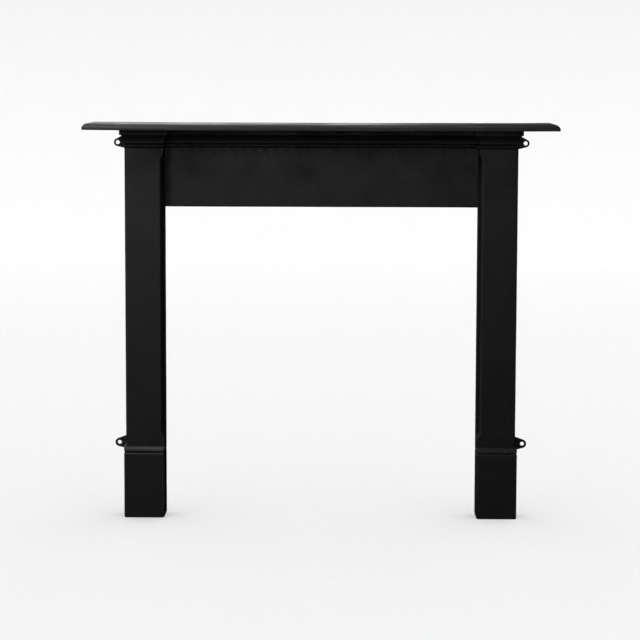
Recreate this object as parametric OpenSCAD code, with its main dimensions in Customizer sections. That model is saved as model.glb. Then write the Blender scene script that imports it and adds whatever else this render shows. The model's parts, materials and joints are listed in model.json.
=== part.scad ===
// Cast iron fireplace surround: a mantel shelf, a frieze, two legs and two foot blocks,
// bolted together from behind. Millimetres.
// X runs along the wall, the front faces -Y and Z is up from the floor. Left and right are as
// seen from the front. The origin is on the floor, midway across the width and the depth.
// The pieces are drawn with the wall at y = 0 and then moved to that origin by on_floor().

/* [Opening and frieze] */
// Clear width between the legs
opening_w = 914; // [760:1:1100]
// Clear height under the frieze
opening_h = 911; // [760:1:1100]
// Height of the frieze, up to the underside of the shelf
frieze_h = 228; // [190:1:300]
// Distance from the wall to the plain face of the frieze
frieze_face = 20; // [19:0.5:30]
// Thickness of the frieze plate
frieze_wall = 7; // [5:0.5:8]
// Length of each end of the frieze that laps behind a leg
frieze_lap = 44; // [40:1:60]
// Round along the lower edge of the frieze
frieze_edge_r = 3; // [1:0.5:5]
// Number of stiffening ribs on the back of the frieze
frieze_ribs = 4; // [2:1:6]

/* [Legs] */
// Width of a leg
leg_w = 113.5; // [100:0.5:160]
// Depth of a leg, from the wall to its face
leg_depth = 76; // [64:1:120]
// Wall thickness of the legs
leg_wall = 7; // [5:0.5:9]
// Round on the outer front arris of a leg
leg_arris_r = 5; // [1:0.5:6]
// Width that the chamfer takes off each face of the inner arris
chamfer_w = 10.5; // [5:0.5:14]
// Length of the ogee stop at the top of the chamfer
stop_top_l = 37; // [20:1:60]
// Length of the stop at the foot of the chamfer
stop_foot_l = 18; // [10:1:40]
// Plain height between the roll and the lower stop
stop_foot_gap = 27; // [10:1:60]
// Thickness of the flanges that close a leg at the top and the bottom
flange_t = 8; // [6:0.5:12]
// Number of cross webs inside each leg
leg_webs = 3; // [1:1:5]
// Thickness of the webs and ribs
rib_t = 6; // [4:0.5:8]
// Depth of the cross webs, from the front wall
web_depth = 16; // [12:1:30]

/* [Cornice under the shelf] */
// How far the fascia stands out from the plain face
cornice_out = 14; // [12:0.5:18]
// Height of the fascia
fascia_h = 17.5; // [16:0.5:24]
// Height of the hollow moulding (cavetto)
cove_h = 25.5; // [16:0.5:36]
// How far the top of the cavetto stands out
cove_out = 9.5; // [7:0.5:11.5]
// How far the foot of the cavetto stands out
cove_foot = 3; // [2:0.5:5]
// Height of the quirk between the cavetto and the bead
quirk_h = 3; // [2:0.5:5]
// Radius of the bead
bead_r = 2.75; // [2:0.25:4]
// Height of the splay under the bead
splay_h = 4.5; // [3:0.5:8]

/* [Mantel shelf] */
// Depth of the shelf from the wall
shelf_depth = 208; // [150:1:260]
// How far the shelf passes the cornice at each end
shelf_overhang = 95; // [40:1:160]
// Height of the moulded edge
shelf_edge_h = 19; // [17:0.5:26]
// Height of the quarter round on that edge
ovolo_h = 12.5; // [9:0.5:15]
// Width of the quarter round, seen from above
ovolo_w = 17; // [12:0.5:22]
// Thickness of the shelf plate
shelf_plate = 8; // [6:0.5:10]
// Thickness of the rim round the underside
rim_t = 12; // [9:0.5:20]

/* [Feet] */
// Height of a foot block
foot_h = 193; // [120:1:260]
// How far a foot block stands out from the face of its leg
foot_out_front = 14; // [8:0.5:24]
// How far a foot block stands out from the outer side of its leg
foot_out_side = 5; // [2:0.5:10]
// Wall thickness of the foot blocks
foot_wall = 8; // [6:0.5:10]
// Round on the upright arrises of a foot block
foot_arris_r = 4; // [1:0.5:6]
// Round along the top front edge of a foot block
foot_top_r = 3; // [1:0.5:5]
// Round along the top side edges of a foot block and of the roll
foot_end_r = 1.5; // [1:0.5:3]
// Round on the lower inner corner of a foot block
foot_corner_r = 6; // [4:0.5:16]
// Height of the neck between a foot block and the roll
neck_h = 4; // [2:0.5:8]
// How far the neck is set in from the front of the block
neck_in = 3.5; // [2:0.5:5]
// How far the neck is set in from the sides of the block
neck_in_side = 1; // [0.5:0.5:3]
// Height of the roll at the bottom of a leg
roll_h = 15; // [10:0.5:20]

/* [Wall ears] */
// Diameter of the hole in an ear
ear_hole_d = 12; // [6:0.5:14]
// Radius of the end of an ear
ear_r = 13; // [11:0.5:16]
// Distance from the side of the leg to the hole
ear_reach = 25.5; // [20:0.5:36]
// Thickness of an ear
ear_t = 7; // [5:0.5:10]
// Height of the hole above the bottom of the leg, in the lower ears
ear_low_up = 14; // [13.5:0.5:60]
// Height of the hole below the shelf, in the upper ears
ear_high_down = 41; // [30:0.5:80]

/* [Fasteners] */
// Diameter of the bolts
bolt_d = 8; // [6:1:8]
// Added to the bolt's diameter for a clearance hole
hole_clear = 1; // [0.5:0.1:1.5]
// Gap between castings that butt or fit into each other
joint_gap = 0.5; // [0.3:0.1:1]
// Length of the bolts that hold the shelf
shelf_bolt_l = 20; // [16:1:22]
// Length of the bolts through the frieze and the lugs of a leg
frieze_bolt_l = 30; // [26:1:40]
// Length of the bolts through a leg and its foot block
foot_bolt_l = 32; // [30:1:45]
// Distance of the lower frieze bolt above the opening
frieze_bolt_up = 50; // [30:1:70]
// Distance between the two frieze bolts of a leg
frieze_bolt_gap = 92; // [60:1:96]
// Distance from the middle of the frieze to its outer shelf bolts
shelf_bolt_x = 300; // [150:1:330]

/* [Hidden] */
$fn = 48;
iron = "#26272a";
zinc = "#8d9196";
over = 1;                                   // how far a cutter runs past the face it cuts

// Levels above the floor
seat_z = opening_h + frieze_h;              // underside of the shelf, top of the legs and frieze
top_z = seat_z + shelf_edge_h;
leg_foot_z = foot_h + neck_h;               // joint between a leg and its foot block
roll_top_z = leg_foot_z + roll_h;
cornice_h = fascia_h + cove_h + quirk_h + 2 * bead_r + splay_h;
shaft_top_z = seat_z - cornice_h;
flange_z = seat_z - flange_t;               // underside of the top flanges

// Plans
foot_w = leg_w + foot_out_side;
foot_depth = leg_depth + foot_out_front;
shelf_w = opening_w + 2 * (leg_w + cornice_out + shelf_overhang);
inner_w = leg_w - 2 * leg_wall;             // clear width inside a leg
inner_depth = leg_depth - leg_wall;
corner_r = 5;                               // fillets inside the hollow castings

// Radii that follow from the widths and heights of the mouldings
cove_r = (pow(cove_out - cove_foot, 2) + pow(cove_h, 2)) / (2 * (cove_out - cove_foot));
ovolo_r = (pow(ovolo_w, 2) + pow(ovolo_h, 2)) / (2 * ovolo_h);
quirk_out = 1;                              // the quirk's floor, out from the plain face
relief_out = 2;                             // the hollow behind the fascia, out from the face
relief_h = fascia_h - flange_t + 4;

// Fasteners, from the usual proportions of a hexagon bolt
head_af = 1.625 * bolt_d;
head_h = 0.6875 * bolt_d;
nut_h = 0.8125 * bolt_d;
washer_d = 2 * bolt_d;
washer_t = 1.6;
washer_bore_d = bolt_d + 0.4;
thread_d = bolt_d + 0.1;                    // bore of a tapped hole or a nut
hole_d = bolt_d + hole_clear;
boss_r = bolt_d + 4;
tapped_depth = shelf_bolt_l - flange_t - washer_t + 2;

// Places of the bolts, in a leg's own plan: x from its inner face, y from the wall
foot_bolt_x = [foot_w / 2 - 29, foot_w / 2 + 29];
foot_bolt_y = -leg_depth / 2;
leg_shelf_bolt_y = [-leg_depth / 3 + 1, -leg_depth * 4 / 5];
lug_w = 2 * boss_r + 14;
lug_x = leg_wall + boss_r + 8;
lug_t = flange_t;
lug_z = [opening_h + frieze_bolt_up, opening_h + frieze_bolt_up + frieze_bolt_gap];
frieze_shelf_bolt_y = -frieze_face + 8;

// ---------------------------------------------------------------- helpers

// Puts a piece drawn from the wall at the origin of the whole surround
module on_floor() {
    translate([0, shelf_depth / 2, 0]) children();
}

// A leg and its foot block are drawn with x = 0 on the inner face; right side of the opening
module right_side() {
    on_floor() translate([opening_w / 2, 0, 0]) children();
}

module left_side() {
    mirror([1, 0, 0]) right_side() children();
}

// Extrudes an outline drawn as (y, z) along X
module along_x(x0, x1) {
    translate([x0, 0, 0]) rotate([90, 0, 90]) linear_extrude(x1 - x0) children();
}

// Extrudes an outline drawn as (x, z) along Y
module along_y(y0, y1) {
    translate([0, y1, 0]) rotate([90, 0, 0]) linear_extrude(y1 - y0) children();
}

// What a round of radius r takes off the corner at the origin of a shape that lies in -x, -y
module corner_trim(r) {
    difference() {
        translate([-r, -r]) square(r + over);
        translate([-r, -r]) circle(r);
    }
}

// Plan of a hollow that is open to the wall, with filleted front corners
module hollow_plan(x0, x1, depth, r) {
    difference() {
        translate([x0, -depth]) square([x1 - x0, depth + over]);
        translate([x0, -depth]) rotate(180) corner_trim(r);
        translate([x1, -depth]) rotate(-90) corner_trim(r);
    }
}

// ------------------------------------------------------------- mouldings

// Section of the cornice: x is the distance out from the plain face, y is 0 at the top
module cornice_profile(back) {
    translate([-back, -fascia_h]) square([back + cornice_out, fascia_h]);
    // the hollow is struck from a centre level with its foot
    difference() {
        translate([-back, -fascia_h - cove_h]) square([back + cornice_out, cove_h]);
        translate([cove_foot + cove_r, -fascia_h - cove_h]) circle(cove_r, $fn = 96);
    }
    translate([0, -cornice_h + splay_h]) {
        translate([-back, 0]) square([back + quirk_out, quirk_h + 2 * bead_r]);
        translate([quirk_out, bead_r]) circle(bead_r);
        polygon([[-back, 0], [quirk_out + bead_r / 2, 0], [0, -splay_h], [-back, -splay_h]]);
    }
}

// Edge of the shelf: x runs out to the moulded edge at x = reach, y = 0 is the underside
module shelf_profile(reach) {
    difference() {
        square([reach, shelf_edge_h]);
        difference() {
            translate([reach - ovolo_w, shelf_edge_h - ovolo_h]) square([ovolo_w, ovolo_h] + [over, over]);
            translate([reach - ovolo_w, shelf_edge_h - ovolo_r]) circle(ovolo_r, $fn = 96);
        }
        translate([reach, 0]) rotate(-90) corner_trim(2);
    }
}

// Section of the roll: an arc that is upright at its foot, where x = reach, and runs into the leg
module roll_profile(reach, out) {
    width = out + over;
    r = (pow(width, 2) + pow(roll_h, 2)) / (2 * width);
    intersection() {
        square([reach, roll_h]);
        union() {
            square([reach - r, roll_h]);
            translate([reach - r, 0]) circle(r, $fn = 96);
        }
    }
}

// Plan of a foot block, and of the roll that stands over it
module foot_plan() {
    difference() {
        translate([0, -foot_depth]) square([foot_w, foot_depth]);
        translate([0, -foot_depth]) rotate(180) corner_trim(foot_arris_r);
        translate([foot_w, -foot_depth]) rotate(-90) corner_trim(foot_arris_r);
    }
}

// ----------------------------------------------------------------- shelf

module shelf_body() {
    intersection() {
        along_x(-shelf_w, shelf_w) mirror([1, 0]) translate([0, seat_z]) shelf_profile(shelf_depth);
        along_y(-2 * shelf_depth, 0) translate([0, seat_z]) {
            shelf_profile(shelf_w / 2);
            mirror([1, 0]) shelf_profile(shelf_w / 2);
        }
    }
}

// Ribs under the plate: a seat round the top of each leg, one along the frieze, and cross ribs
module shelf_ribs(h) {
    seat_in = 6;
    seat_x0 = opening_w / 2 - cornice_out + seat_in;
    seat_x1 = opening_w / 2 + leg_w + cornice_out - seat_in;
    seat_y = leg_depth + cornice_out - seat_in;
    frieze_seat_y = frieze_face + cornice_out - seat_in;
    front_y = shelf_depth - rim_t;
    low = 2;                                // the cross ribs stop this far above the seats
    for (side = [0, 1]) mirror([side, 0, 0]) {
        translate([seat_x0, -seat_y, 0]) difference() {
            cube([seat_x1 - seat_x0, seat_y, h]);
            translate([rib_t, rib_t, -over]) cube([seat_x1 - seat_x0 - 2 * rib_t, seat_y, h + 2 * over]);
        }
        for (x = [opening_w / 2 + leg_w / 2, shelf_bolt_x]) {
            y0 = x > seat_x0 ? seat_y : frieze_seat_y;
            translate([x - rib_t / 2, -front_y - over, low]) cube([rib_t, front_y - y0 + 2 * over, h - low]);
        }
        translate([seat_x1 - over, -seat_y / 2 - rib_t / 2, low])
            cube([shelf_w / 2 - rim_t - seat_x1 + 2 * over, rib_t, h - low]);
    }
    translate([-seat_x0 - over, -frieze_seat_y, 0]) cube([2 * (seat_x0 + over), rib_t, h]);
    translate([-rib_t / 2, -front_y - over, low])
        cube([rib_t, front_y - frieze_seat_y + 2 * over, h - low]);
    long_y = (seat_y + front_y) / 2;
    translate([-shelf_w / 2 + rim_t - over, -long_y - rib_t / 2, low])
        cube([shelf_w - 2 * rim_t + 2 * over, rib_t, h - low]);
}

// Places of the bolts that come up into the shelf, from the wall
function middle_bolts() = [for (i = [-1, 0, 1]) [i * shelf_bolt_x, frieze_shelf_bolt_y]];
function leg_bolts(side) = [for (y = leg_shelf_bolt_y) [side * (opening_w + leg_w) / 2, y]];
function shelf_bolt_places() = concat(leg_bolts(-1), middle_bolts(), leg_bolts(1));

module mantel_shelf() color(iron) on_floor() {
    back_rim = rib_t;
    hollow_h = shelf_edge_h - shelf_plate;
    difference() {
        union() {
            difference() {
                shelf_body();
                translate([-shelf_w / 2 + rim_t, -shelf_depth + rim_t, seat_z - over])
                    cube([shelf_w - 2 * rim_t, shelf_depth - rim_t - back_rim, hollow_h + over]);
            }
            intersection() {
                translate([0, 0, seat_z]) union() {
                    shelf_ribs(hollow_h + over);
                    for (p = shelf_bolt_places()) translate(p) cylinder(r = boss_r, h = hollow_h + over);
                }
                translate([-shelf_w / 2 + rim_t / 2, -shelf_depth + rim_t / 2, 0])
                    cube([shelf_w - rim_t, shelf_depth - rim_t / 2, top_z - over]);
            }
        }
        for (p = shelf_bolt_places())
            translate([p[0], p[1], seat_z - over]) cylinder(d = thread_d, h = tapped_depth + over);
    }
}

// ---------------------------------------------------------------- frieze

// Outline of the cornice ends, coped to the returns that the legs carry
module coped_ends() {
    half = opening_w / 2 - joint_gap;
    difference() {
        translate([-half, opening_h]) square([2 * half, frieze_h]);
        for (side = [0, 1]) mirror([side, 0])
            translate([half, seat_z]) mirror([1, 0]) cornice_profile(over);
    }
}

// Section of the frieze behind its plain face, drawn as (y, z)
module frieze_section() {
    difference() {
        translate([-frieze_face, opening_h]) square([frieze_face, frieze_h]);
        translate([-frieze_face + frieze_wall, opening_h + frieze_wall])
            square([frieze_face, frieze_h - frieze_wall - flange_t]);
        translate([-frieze_face, opening_h]) rotate(180) corner_trim(frieze_edge_r);
    }
}

module frieze_laps() {
    lap_h = flange_z - joint_gap - opening_h;
    for (side = [0, 1]) mirror([side, 0, 0])
        along_y(-frieze_face, -frieze_face + frieze_wall) translate([opening_w / 2 - over, opening_h])
            difference() {
                square([frieze_lap + over, lap_h]);
                translate([frieze_lap + over, lap_h]) corner_trim(corner_r);
                translate([frieze_lap + over, 0]) rotate(-90) corner_trim(corner_r);
            }
}

module frieze_back_ribs() {
    pitch = opening_w / frieze_ribs;
    depth = frieze_face - frieze_wall - 4;
    for (i = [0 : frieze_ribs - 1])
        translate([(i + 0.5) * pitch - opening_w / 2 - rib_t / 2, -frieze_face + frieze_wall - over, opening_h])
            cube([rib_t, depth + over, frieze_h - cornice_h]);
}

module frieze() color(iron) on_floor() {
    half = opening_w / 2 - joint_gap;
    difference() {
        union() {
            along_x(-half, half) frieze_section();
            intersection() {
                along_x(-half, half) translate([-frieze_face, seat_z]) mirror([1, 0]) cornice_profile(0);
                along_y(-leg_depth, 0) coped_ends();
            }
            frieze_laps();
            frieze_back_ribs();
        }
        // hollow behind the fascia, which gives the shelf bolts their room
        translate([-half + 2 * cornice_out, -frieze_face - relief_out, flange_z - relief_h])
            cube([2 * half - 4 * cornice_out, frieze_face + relief_out + over, relief_h]);
        for (p = middle_bolts())
            translate([p[0], p[1], flange_z - over]) cylinder(d = hole_d, h = flange_t + 2 * over);
        for (side = [-1, 1]) for (z = lug_z)
            translate([side * (opening_w / 2 + lug_x), 0, z]) rotate([90, 0, 0]) cylinder(d = hole_d, h = leg_depth);
    }
}

// ------------------------------------------------------------------ legs

// Plan of a leg: inner face at x = 0, wall at y = 0
module leg_plan() {
    difference() {
        translate([0, -leg_depth]) square([leg_w, leg_depth]);
        translate([leg_w, -leg_depth]) rotate(-90) corner_trim(leg_arris_r);
    }
}

// The cornice breaks forward round the leg and returns on both sides
module leg_cap() {
    intersection() {
        along_x(-leg_depth, leg_w + leg_depth)
            translate([-leg_depth, seat_z]) mirror([1, 0]) cornice_profile(leg_depth);
        along_y(-2 * leg_depth, 0) {
            translate([leg_w, seat_z]) cornice_profile(leg_w / 2);
            translate([0, seat_z]) mirror([1, 0]) cornice_profile(leg_w / 2);
        }
    }
}

// The roll runs along the front, flush with both sides of the foot block
module leg_roll() {
    translate([0, 0, leg_foot_z]) intersection() {
        linear_extrude(roll_h) foot_plan();
        along_x(0, foot_w) mirror([1, 0]) roll_profile(foot_depth, foot_out_front);
        along_y(-foot_depth, 0) difference() {
            square([foot_w, roll_h]);
            translate([foot_w, roll_h]) corner_trim(foot_end_r);
        }
    }
}

// Depth of the chamfer at height z, as a share of its full depth: each stop is half a cosine wave
function stop_share(t) = (1 - cos(180 * t)) / 2;
stop_steps = 12;

// Cuts the stopped chamfer on the inner front arris
module chamfer_cut() {
    depth = chamfer_w / sqrt(2);
    z0 = roll_top_z + stop_foot_gap;
    z1 = shaft_top_z;
    foot_stop = [for (i = [0 : stop_steps])
        [depth * stop_share(i / stop_steps), z0 + stop_foot_l * i / stop_steps]];
    top_stop = [for (i = [0 : stop_steps])
        [depth * stop_share(1 - i / stop_steps), z1 - stop_top_l * (1 - i / stop_steps)]];
    translate([0, -leg_depth, 0]) rotate([0, 0, 45]) rotate([90, 0, 0])
        linear_extrude(4 * chamfer_w, center = true)
            polygon(concat([[-chamfer_w, z0]], foot_stop, top_stop, [[-chamfer_w, z1]]));
}

// Flat ear with a screw hole: x = 0 is the side of the leg, y = 0 is the height of the hole
module ear_outline(up, down) {
    translate([ear_reach, 0]) circle(ear_r);
    polygon([[-leg_wall / 2, -down], [0, -down], [ear_reach, -ear_r], [ear_reach, ear_r],
        [0, up], [-leg_wall / 2, up]]);
    translate([0, up - over]) difference() {
        square(corner_r + over);
        translate([corner_r + over, corner_r + over]) circle(corner_r);
    }
}

module ear(z, up, down) {
    along_y(-ear_t, 0) translate([leg_w, z]) ear_outline(up, down);
}

// Lug on the inner side wall, in front of the lap of the frieze
module frieze_lug(z) {
    along_y(-frieze_face - lug_t, -frieze_face) translate([lug_x, z]) {
        circle(lug_w / 2);
        translate([-lug_x + leg_wall / 2, -lug_w / 2]) square([lug_x - leg_wall / 2, lug_w]);
    }
}

module leg_casting() color(iron) {
    ear_low_z = leg_foot_z + ear_low_up;
    ear_high_z = seat_z - ear_high_down;
    web_pitch = (opening_h - roll_top_z) / leg_webs;
    difference() {
        union() {
            difference() {
                union() {
                    translate([0, 0, leg_foot_z]) linear_extrude(seat_z - leg_foot_z) leg_plan();
                    leg_cap();
                    leg_roll();
                }
                translate([0, 0, leg_foot_z + flange_t]) linear_extrude(flange_z - leg_foot_z - flange_t)
                    hollow_plan(leg_wall, leg_w - leg_wall, inner_depth, corner_r);
                // hollow behind the fascia
                translate([0, 0, flange_z - relief_h]) linear_extrude(relief_h)
                    hollow_plan(leg_wall, leg_w + relief_out, leg_depth + relief_out, corner_r);
                // core hole in the bottom flange, between the bolts
                translate([leg_w / 2, -inner_depth / 2, leg_foot_z - over])
                    cylinder(d = leg_depth / 4, h = flange_t + 2 * over);
            }
            for (i = [0 : leg_webs - 1])
                translate([leg_wall / 2, -leg_depth + leg_wall / 2, roll_top_z + (i + 0.5) * web_pitch])
                    cube([leg_w - leg_wall, web_depth, rib_t]);
            for (z = lug_z) frieze_lug(z);
            ear(ear_low_z, ear_r + 4.5, ear_r);
            ear(ear_high_z, ear_r + 8, ear_r + 7);
        }
        chamfer_cut();
        // notch behind which the frieze passes
        translate([-leg_depth, -frieze_face - joint_gap, opening_h - joint_gap])
            cube([leg_depth + leg_wall + joint_gap, leg_depth, seat_z]);
        for (z = lug_z)
            translate([lug_x, 0, z]) rotate([90, 0, 0]) cylinder(d = hole_d, h = frieze_face + lug_t + 2 * over);
        for (z = [ear_low_z, ear_high_z])
            translate([leg_w + ear_reach, over, z]) rotate([90, 0, 0]) cylinder(d = ear_hole_d, h = ear_t + 2 * over);
        for (y = leg_shelf_bolt_y)
            translate([leg_w / 2, y, flange_z - over]) cylinder(d = hole_d, h = flange_t + 2 * over);
        for (x = foot_bolt_x)
            translate([x, foot_bolt_y, leg_foot_z - over]) cylinder(d = hole_d, h = flange_t + 2 * over);
    }
}

// ------------------------------------------------------------ foot blocks

// Section of a block with its top edges rounded; the lower corners get their own radii
module block_outline(w, inner_r, outer_r) {
    difference() {
        square([w, foot_h]);
        translate([w, foot_h]) corner_trim(foot_end_r);
        translate([0, foot_h]) rotate(90) corner_trim(foot_end_r);
        translate([w, 0]) rotate(-90) corner_trim(outer_r);
        translate([0, 0]) rotate(180) corner_trim(inner_r);
    }
}

module foot_casting() color(iron) {
    plate_t = flange_t + neck_h;
    difference() {
        union() {
            intersection() {
                linear_extrude(foot_h) foot_plan();
                along_x(0, foot_w) difference() {
                    translate([-foot_depth, 0]) square([foot_depth, foot_h]);
                    translate([-foot_depth, foot_h]) rotate(90) corner_trim(foot_top_r);
                }
                along_y(-foot_depth, 0) block_outline(foot_w, foot_corner_r, foot_arris_r);
            }
            translate([neck_in_side, -foot_depth + neck_in, foot_h - flange_t / 2])
                cube([foot_w - 2 * neck_in_side, foot_depth - neck_in, neck_h + flange_t / 2]);
        }
        translate([0, 0, -over]) linear_extrude(leg_foot_z - plate_t + over)
            hollow_plan(foot_wall, foot_w - foot_wall, foot_depth - foot_wall, corner_r);
        for (x = foot_bolt_x)
            translate([x, foot_bolt_y, leg_foot_z - plate_t - over]) cylinder(d = hole_d, h = plate_t + 2 * over);
    }
}

// ------------------------------------------------------------- fasteners

// Hexagon bolt: the head lies below z = 0 and the shank runs up
module hex_bolt(l) color(zinc) {
    translate([0, 0, -head_h]) cylinder(d = head_af / cos(30), h = head_h, $fn = 6);
    translate([0, 0, -over]) cylinder(d = bolt_d, h = l + over);
}

module hex_nut() color(zinc) difference() {
    cylinder(d = head_af / cos(30), h = nut_h, $fn = 6);
    translate([0, 0, -over]) cylinder(d = thread_d, h = nut_h + 2 * over);
}

module washer() color(zinc) difference() {
    cylinder(d = washer_d, h = washer_t);
    translate([0, 0, -over]) cylinder(d = washer_bore_d, h = washer_t + 2 * over);
}

// Repeats its children at the shelf bolts, on the underside of the top flanges, pointing up
module under_flanges(places) {
    on_floor() for (p = places) translate([p[0], p[1], flange_z]) children();
}

// Repeats its children at the frieze bolts of one leg; z = 0 is the back of the lap, up is -Y
module behind_lap() {
    for (z = lug_z) translate([lug_x, -frieze_face + frieze_wall, z]) rotate([90, 0, 0]) children();
}

// Repeats its children at the foot bolts of one leg; z = 0 is the underside of the block's top
module under_block_top() {
    for (x = foot_bolt_x) translate([x, foot_bolt_y, foot_h - flange_t]) children();
}

module shelf_bolts(places) under_flanges(places) translate([0, 0, -washer_t]) hex_bolt(shelf_bolt_l);
module shelf_washers(places) under_flanges(places) translate([0, 0, -washer_t]) washer();

lap_stack = frieze_wall + lug_t;
module frieze_bolts() behind_lap() translate([0, 0, -washer_t]) hex_bolt(frieze_bolt_l);
module frieze_washers() behind_lap() {
    translate([0, 0, -washer_t]) washer();
    translate([0, 0, lap_stack]) washer();
}
module frieze_nuts() behind_lap() translate([0, 0, lap_stack + washer_t]) hex_nut();

foot_stack = neck_h + 2 * flange_t;
module foot_bolts() under_block_top() translate([0, 0, -washer_t]) hex_bolt(foot_bolt_l);
module foot_washers() under_block_top() {
    translate([0, 0, -washer_t]) washer();
    translate([0, 0, foot_stack]) washer();
}
module foot_nuts() under_block_top() translate([0, 0, foot_stack + washer_t]) hex_nut();

mantel_shelf();
frieze();
left_side() leg_casting();  // left_leg
right_side() leg_casting();  // right_leg
left_side() foot_casting();  // left_foot_block
right_side() foot_casting();  // right_foot_block
shelf_bolts(leg_bolts(-1));  // shelf_bolts_left
shelf_bolts(middle_bolts());  // shelf_bolts_middle
shelf_bolts(leg_bolts(1));  // shelf_bolts_right
shelf_washers(leg_bolts(-1));  // shelf_washers_left
shelf_washers(middle_bolts());  // shelf_washers_middle
shelf_washers(leg_bolts(1));  // shelf_washers_right
left_side() frieze_bolts();  // frieze_bolts_left
left_side() frieze_washers();  // frieze_washers_left
left_side() frieze_nuts();  // frieze_nuts_left
right_side() frieze_bolts();  // frieze_bolts_right
right_side() frieze_washers();  // frieze_washers_right
right_side() frieze_nuts();  // frieze_nuts_right
left_side() foot_bolts();  // foot_bolts_left
left_side() foot_washers();  // foot_washers_left
left_side() foot_nuts();  // foot_nuts_left
right_side() foot_bolts();  // foot_bolts_right
right_side() foot_washers();  // foot_washers_right
right_side() foot_nuts();  // foot_nuts_right
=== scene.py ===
# %% [markdown]
# # A cast iron fireplace surround
# The real object is a kit of plain castings: a mantel shelf, a frieze, two legs and two foot blocks,
# bolted together from behind and screwed to the wall through four ears. This lesson dresses the
# measured model of that kit, which says how large each piece is. It adds the surface: soft arrises,
# fillets, threads and a satin black finish.

# %% Load the measured model
import json
import math

import bmesh
import bpy
import numpy as np
from mathutils import Matrix, Vector

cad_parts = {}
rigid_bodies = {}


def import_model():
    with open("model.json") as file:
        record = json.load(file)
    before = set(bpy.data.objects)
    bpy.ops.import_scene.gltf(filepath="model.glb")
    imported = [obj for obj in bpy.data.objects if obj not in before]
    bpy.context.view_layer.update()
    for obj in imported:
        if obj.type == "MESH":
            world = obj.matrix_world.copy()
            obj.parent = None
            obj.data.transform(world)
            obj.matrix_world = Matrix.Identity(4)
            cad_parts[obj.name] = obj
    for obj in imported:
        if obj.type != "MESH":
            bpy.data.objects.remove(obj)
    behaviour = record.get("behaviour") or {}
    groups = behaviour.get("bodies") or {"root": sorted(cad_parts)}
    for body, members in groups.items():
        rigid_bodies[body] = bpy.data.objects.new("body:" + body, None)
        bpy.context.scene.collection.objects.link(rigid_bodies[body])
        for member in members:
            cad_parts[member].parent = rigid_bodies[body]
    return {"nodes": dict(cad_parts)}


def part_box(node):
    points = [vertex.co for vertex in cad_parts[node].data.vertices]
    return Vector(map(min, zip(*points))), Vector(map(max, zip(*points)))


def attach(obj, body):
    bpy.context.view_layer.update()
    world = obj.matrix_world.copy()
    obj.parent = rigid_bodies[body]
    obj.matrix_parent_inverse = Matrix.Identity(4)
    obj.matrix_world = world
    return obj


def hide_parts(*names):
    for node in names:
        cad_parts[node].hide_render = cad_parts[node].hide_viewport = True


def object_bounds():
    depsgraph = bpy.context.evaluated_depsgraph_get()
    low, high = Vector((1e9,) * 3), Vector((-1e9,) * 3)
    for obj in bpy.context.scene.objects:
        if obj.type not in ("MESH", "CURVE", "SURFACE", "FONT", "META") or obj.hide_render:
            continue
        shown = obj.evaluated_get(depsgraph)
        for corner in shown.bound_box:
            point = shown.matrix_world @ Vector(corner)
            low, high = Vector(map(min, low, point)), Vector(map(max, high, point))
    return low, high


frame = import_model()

cad_low, cad_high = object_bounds()
print("measured model:", [round(v, 4) for v in cad_high - cad_low], "m,", len(frame["nodes"]), "nodes")

# %% [markdown]
# ## Sizes
# A pattern maker works from a few driving sizes. Most can be read back from the boxes of the measured
# pieces, so this scene can't drift away from the model. All is in millimetres: x from the middle of
# the surround, y from the wall (the front is negative), z from the floor.

# %% Sizes read from the measured pieces
def box_mm(node):
    """Lowest and highest corner of a measured piece, in millimetres."""
    low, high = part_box(node)
    return np.array(low) * 1000, np.array(high) * 1000


shelf_low, shelf_high = box_mm("mantel_shelf")
frieze_low, frieze_high = box_mm("frieze")
leg_low = box_mm("right_leg")[0]
foot_low, foot_high = box_mm("right_foot_block")

wall_y = shelf_high[1]
wall_origin = np.array([0, wall_y, 0])
shelf_w = shelf_high[0] - shelf_low[0]
shelf_depth = wall_y - shelf_low[1]
seat_z, top_z = shelf_low[2], shelf_high[2]
opening_h = frieze_low[2]
jamb_x = foot_low[0]  # the side of the opening
cornice_out = jamb_x - leg_low[0]
leg_depth = wall_y - leg_low[1] - cornice_out
foot_w = foot_high[0] - foot_low[0]
foot_depth = wall_y - foot_low[1]
leg_foot_z = foot_high[2]
face_y = cornice_out - (wall_y - frieze_low[1])
frieze_lap = frieze_high[0] - jamb_x
print(f"opening {2 * jamb_x:.0f} x {opening_h:.0f}, shelf {shelf_w:.0f} x {shelf_depth:.0f}")

# %% Sizes that the boxes don't show
foot_out_side = 5.0  # the foot block passes the leg's outer side by this
leg_w = foot_w - foot_out_side
leg_wall, frieze_wall, foot_wall = 7.0, 7.0, 8.0
flange_t, rib_t, web_depth = 8.0, 6.0, 16.0
neck_h, neck_in, neck_in_side, neck_foot_h = 4.0, 8.0, 1.0, 1.2
foot_h = leg_foot_z - neck_h
shoulder_z = foot_h - neck_foot_h  # the deep neck starts a little under the block's top
roll_h, roll_over, roll_soft_r = 15.0, 1.0, 0.8
foot_arris_r, foot_top_r, foot_end_r, foot_corner_r = 4.0, 3.0, 1.5, 6.0
roll_top_z = leg_foot_z + roll_h
flange_z = seat_z - flange_t
joint_gap = 0.5
bolt_d, hole_r, tapped_r, boss_r = 8.0, 4.5, 4.05, 12.0

# %% [markdown]
# ## Three shape makers
# Nearly every surface of a casting is a skin stretched over a stack of closed loops, a flat plate
# with softened edges, or turned. All three are written as whole numpy arrays. A loop is a polygon
# with arcs for corners, as a sand mould can't hold a sharp corner, and none catches the light.

# %% Softened outlines
def left_of(direction):
    """The vector turned a quarter turn anticlockwise."""
    return np.stack([-direction[..., 1], direction[..., 0]], -1)


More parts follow.
